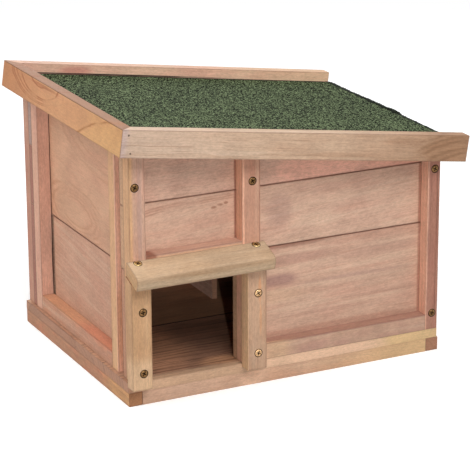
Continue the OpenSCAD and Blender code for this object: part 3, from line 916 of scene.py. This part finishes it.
def crossScrew(mesh, centre, outward, inward, turn, radius, length, plate):
    lip = screwLook["lip"] / 1000
    thick = min(screwLook["shank"] / 1000, radius * 0.5)
    deepNeck = min(screwLook["neck"] / 1000, length / 3)
    crown = radius * screwLook["crown"]
    up = outward.normalized()
    side = up.orthogonal().normalized()
    seated = Matrix((side, up.cross(side), up)).transposed()
    headTurn = seated @ Matrix.Rotation(math.radians(turn), 3, "Z")
    shankTurn = up.rotation_difference(-inward).to_matrix() @ headTurn

    def loop(points, turned=headTurn):
        return [mesh.verts.new(centre + turned @ Vector(p)) for p in points]

    def circle(size, height, turned=headTurn):
        angles = [k * math.tau / screwLook["sides"] for k in range(screwLook["sides"])]
        return loop([(size * math.cos(a), size * math.sin(a), height) for a in angles], turned)

    def cross(scale, height):
        arm = screwLook["arm"] * radius * scale
        slot = screwLook["slot"] * radius * scale
        quarter = [(arm, -slot), (arm, slot), (slot, slot)]
        points = []
        for k in range(4):
            c, s = math.cos(k * math.pi / 2), math.sin(k * math.pi / 2)
            points += [(x * c - y * s, x * s + y * c, height) for x, y in quarter]
        return loop(points)

    def band(first, second, slot=plate):
        for face in bridge(mesh, first, second):
            face.smooth = slot != 1
            face.material_index = slot

    top = circle(radius * screwLook["flat"], crown)
    edge = circle(radius * screwLook["head"], lip * 2)
    gap = circle(radius * screwLook["head"], lip)
    sink = circle(radius * screwLook["burrAndShade"], lip)
    neck = circle(thick, -deepNeck, shankTurn)
    shank = circle(thick, -length + thick * 2, shankTurn)
    tip = circle(thick / 8, -length, shankTurn)
    mouth = cross(1.0, crown)
    floor = cross(screwLook["taper"], -radius * screwLook["deep"])
    band(top, edge)
    # head rim and the ring round it in slot 1: painted shade, with crushed wood on the ring
    band(edge, gap, 1)
    band(gap, sink, 1)
    band(sink, neck)
    band(neck, shank)
    band(shank, tip)
    mesh.faces.new(tip).material_index = plate
    # the cross in slot 1: painted shade in its hollow
    band(mouth, floor, 1)
    mesh.faces.new(floor).material_index = 1
    pairs = [(ring[k - 1], ring[k]) for ring in (top, mouth) for k in range(len(ring))]
    edges = [mesh.edges.get(pair) or mesh.edges.new(pair) for pair in pairs]
    for face in bmesh.ops.triangle_fill(mesh, edges=edges, use_beauty=True)["geom"]:
        if isinstance(face, bmesh.types.BMFace):
            face.material_index = plate


def screwSet(nodeName, name, facing, body, plating, tilt=None, dull=None):
    mesh = bmesh.new()
    for count, (low, high) in enumerate(islands(nodeName)):
        middle = (low + high) / 2
        out = facing(middle)
        depth = abs(out.dot(high - low))
        wide = sorted(high - low)[1] / 2
        centre = middle + out * depth / 2
        if tilt:  # a tilted head lies on the slope, not below it
            centre = centre + out * (wide * math.tan(tilt.angle(toSky)))
        plate = 2 if dull and dull(middle) else 0  # slot 1 holds the painted shade of the cross and of the ring
        turn = screwLook["turns"][count % len(screwLook["turns"])]
        crossScrew(mesh, centre, tilt or out, -out, turn, wide, depth, plate)
    faceOutward(mesh)
    piece = build(name, mesh, (plating, darkSteelAndShade, bronze)[:3 if dull else 2])
    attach(piece, body)
    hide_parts(nodeName)


entryMiddle = sum(end.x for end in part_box("canopy")) / 2
screwSet("jamb_screws", "jamb_cross_screws", lambda place: toFront, "house", brass,
         dull=lambda place: place.x < entryMiddle)
screwSet("canopy_screws", "canopy_cross_screws", lambda place: toSky, "house", gilt, canopyUp)
screwSet("frame_screws", "frame_cross_screws", lambda place: toFront if place.y < 0 else toBack,
         "house", brass, dull=lambda place: True)
screwSet("hinge_wall_screws", "hinge_cross_screws", lambda place: toRight, "house", zinc)
print("screws set")


# Brad nails in the corners of the roof trims

bradLook = {
    "radius": 1.15,  # millimetres
    "sides": 14,
    "profile": ((1.0, -0.4), (1.0, 0.0), (0.8, 0.25), (0.5, 0.25), (0.4, -0.1)),  # share, height
    "front": ((-3.1, 360.3), (-1.7, 337.4)),  # across and up on the front trim's face
}


def brad(mesh, centre, outward):
    up = outward.normalized()
    side = up.orthogonal().normalized()
    other = up.cross(side)
    angles = [k * math.tau / bradLook["sides"] for k in range(bradLook["sides"])]
    rings = []
    for share, height in bradLook["profile"]:
        size = bradLook["radius"] / 1000 * share
        level = centre + up * height / 1000
        points = [level + (side * math.cos(a) + other * math.sin(a)) * size for a in angles]
        rings.append([mesh.verts.new(point) for point in points])
    for first, second in zip(rings, rings[1:]):
        bridge(mesh, first, second)
    mesh.faces.new(rings[-1])


trimBox = {name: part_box(name) for name in ("front_trim", "back_trim")}
nails = bmesh.new()
for x, z in bradLook["front"]:
    place = spot(x, 0, z)
    brad(nails, Vector((place.x, trimBox["front_trim"][0].y, place.z)), toFront)
    brad(nails, Vector((place.x, trimBox["back_trim"][1].y, place.z)), toBack)
faceOutward(nails)
brads = build("trim_brads", nails, [darkSteelAndShade])
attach(brads, "lid")
print("brads set")


# Floor, light and camera

stageLook = {
    "floor": 12.0,  # metres
    "floorTint": (236, 236, 236),
    "bounceTint": (190, 189, 188),  # what the floor throws back at the house
    "glow": 0.32,  # share of plain white that the camera adds on the floor
    "fade": (1.0, 2.2),  # metres from the house over which the floor turns plain white
    "world": 0.05,
    "middle": (0, 0, 0.16),  # what the lamps point at
    "boxes": {  # share of plain light, azimuth from the front, elevation, distance, size
        "front_box": (0.64, -5, 48, 3.2, 1.5),
        "left_box": (0.64, -98, 40, 3.2, 2.2),
        "right_box": (0.42, 84, 20, 3.4, 2.2),
        "back_box": (0.42, 172, 20, 3.4, 2.2),
    },
    "camera_flash": (0.30, -22, 15, 3.0, 0.8),  # share, azimuth, elevation, distance, angle
}
white = (1, 1, 1, 1)


def seenPlainly(shade):
    rays = [shade.node("ShaderNodeLightPath", out=ray) for ray in (
        "Is Camera Ray", "Is Glossy Ray", "Is Transmission Ray")]
    return rays[0].op("MAXIMUM", rays[1]).op("MAXIMUM", rays[2])


def floorFinish(look):
    shade = Shade(bpy.data.materials.new("studio_floor"))

    def mixed(share, first, second):
        return shade.node("ShaderNodeMixShader", None, {0: share, 1: first, 2: second})

    plain = shade.node("ShaderNodeBsdfDiffuse", None, {"Color": tint(*look["floorTint"])})
    thrown = shade.node("ShaderNodeBsdfDiffuse", None, {"Color": tint(*look["bounceTint"])})
    glow = shade.node("ShaderNodeEmission", None, {"Color": white, "Strength": look["glow"]})
    both = shade.node("ShaderNodeAddShader", None, {0: plain, 1: glow})
    bright = shade.node("ShaderNodeEmission", None, {"Color": white, "Strength": 1.0})
    place = shade.coord("Object")
    away = shade.node("ShaderNodeVectorMath", {"operation": "LENGTH"}, {0: place}, "Value")
    faded = mixed(shade.smooth(away, *look["fade"]), both, bright)
    shown = mixed(seenPlainly(shade), thrown, faded)
    shade.node("ShaderNodeOutputMaterial", None, {"Surface": shown})
    return shade.owner


def layFloor(look):
    mesh = bmesh.new()
    bmesh.ops.create_grid(mesh, x_segments=12, y_segments=12, size=look["floor"] / 2)
    ground = build("studio_floor", mesh, [floorFinish(look)])
    ground.location.z = cadBox[0][2]


def lightStudio(look):
    world = bpy.data.worlds.new("studio")
    bpy.context.scene.world = world
    shade = Shade(world)
    low = shade.node("ShaderNodeBackground", None, {"Color": white, "Strength": look["world"]})
    bright = shade.node("ShaderNodeBackground", None, {"Color": white, "Strength": 1.0})
    both = shade.node("ShaderNodeMixShader", None, {0: seenPlainly(shade), 1: low, 2: bright})
    shade.node("ShaderNodeOutputWorld", None, {"Surface": both})

    def hang(lamp, azimuth, elevation, away):
        a, e = math.radians(azimuth), math.radians(elevation)
        way = Vector((math.sin(a) * math.cos(e), -math.cos(a) * math.cos(e), math.sin(e)))
        holder = bpy.data.objects.new(lamp.name, lamp)
        holder.location = Vector(look["middle"]) + way * away
        holder.rotation_euler = (-way).to_track_quat("-Z", "Y").to_euler()
        bpy.context.scene.collection.objects.link(holder)

    for name, (share, azimuth, elevation, away, size) in look["boxes"].items():
        lamp = bpy.data.lights.new(name, "AREA")
        lamp.energy = share * math.pi ** 2 * away ** 2
        lamp.size = size
        hang(lamp, azimuth, elevation, away)
    share, azimuth, elevation, away, angle = look["camera_flash"]
    flash = bpy.data.lights.new("camera_flash", "SUN")
    flash.energy = share * math.pi
    flash.angle = math.radians(angle)
    hang(flash, azimuth, elevation, away)


cameraLook = {
    "at": (-1042.54, -2426.12, 1088.10),  # millimetres from the corner
    "azimuth": -26.16,
    "elevation": 18.08,
    "roll": -0.32,
    "focus": 2265.38,  # pixels of the 470 x 470 picture
    "frame": 470,
    "sensor": 36,
    "clip": (0.05, 60),
}


def setCamera(look):
    a, e, r = [math.radians(look[k]) for k in ("azimuth", "elevation", "roll")]
    ahead = Vector((-math.sin(a) * math.cos(e), math.cos(a) * math.cos(e), -math.sin(e)))
    right = Vector((math.cos(a), math.sin(a), 0))
    up = right.cross(ahead)
    turnedRight = right * math.cos(r) + up * math.sin(r)
    turnedUp = up * math.cos(r) - right * math.sin(r)
    data = bpy.data.cameras.new("photo")
    data.sensor_width = look["sensor"]
    data.lens = look["focus"] / look["frame"] * look["sensor"]
    data.clip_start, data.clip_end = look["clip"]
    camera = bpy.data.objects.new("photo", data)
    turn = Matrix((turnedRight, turnedUp, -ahead)).transposed()
    camera.matrix_world = Matrix.Translation(spot(*look["at"])) @ turn.to_4x4()
    bpy.context.scene.collection.objects.link(camera)
    bpy.context.scene.camera = camera


layFloor(stageLook)
lightStudio(stageLook)
setCamera(cameraLook)
print("stage set")
